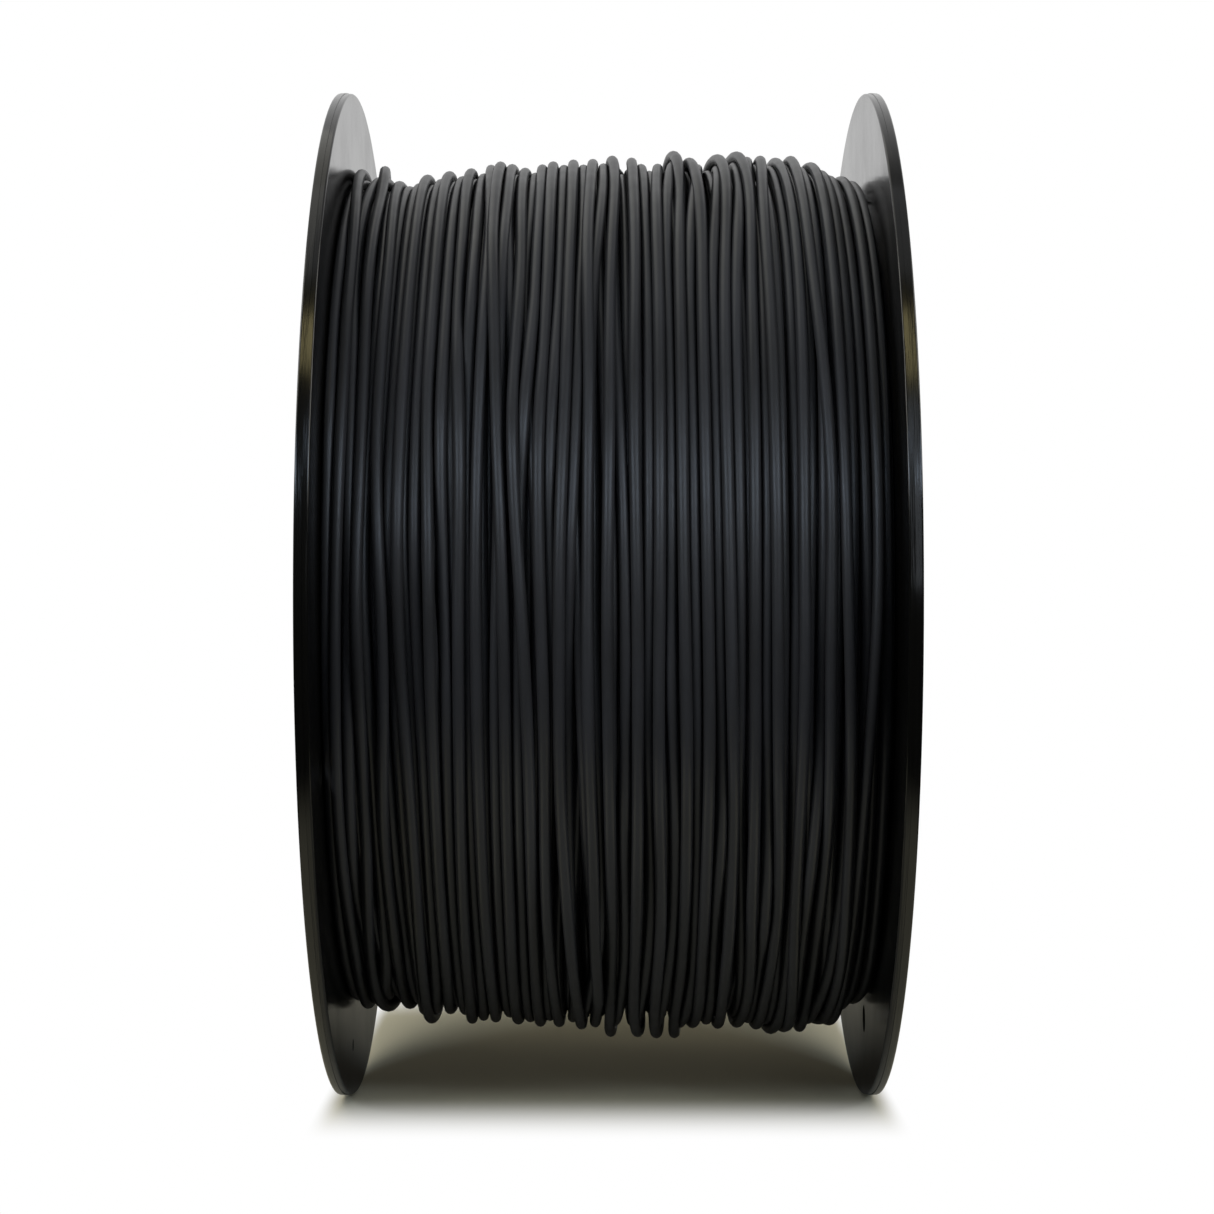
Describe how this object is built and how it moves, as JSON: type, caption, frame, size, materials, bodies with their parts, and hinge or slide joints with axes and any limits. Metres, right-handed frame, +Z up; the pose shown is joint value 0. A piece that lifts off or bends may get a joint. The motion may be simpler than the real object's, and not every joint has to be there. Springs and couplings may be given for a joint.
{
  "type": "filament spool",
  "caption": "Reel for 3D printing filament: solid round flanges snapped onto a barrel, through arbor tube, wound full of charcoal filament",
  "frame": {"origin": "middle of the arbor bore, halfway between the flanges' outer faces", "axes": "+X along the spool's axis towards the flange that holds the filament's free end, +Z up when the spool stands on its flanges' rims"},
  "size_m": [0.0922, 0.165, 0.165],
  "materials": {
    "flange_plastic": "polished moulding, mirror-like inner faces",
    "hub_plastic": "satin moulding",
    "filament_plastic": "satin extruded strand"
  },
  "bodies": {
    "root": {"left_flange": "flange_plastic", "right_flange": "flange_plastic", "barrel": "hub_plastic", "arbor_tube": "hub_plastic", "filament_start": "filament_plastic", "filament_inner_layers": "filament_plastic", "filament_outer_layers": "filament_plastic", "filament_free_end": "filament_plastic"}
  },
  "joints": []
}
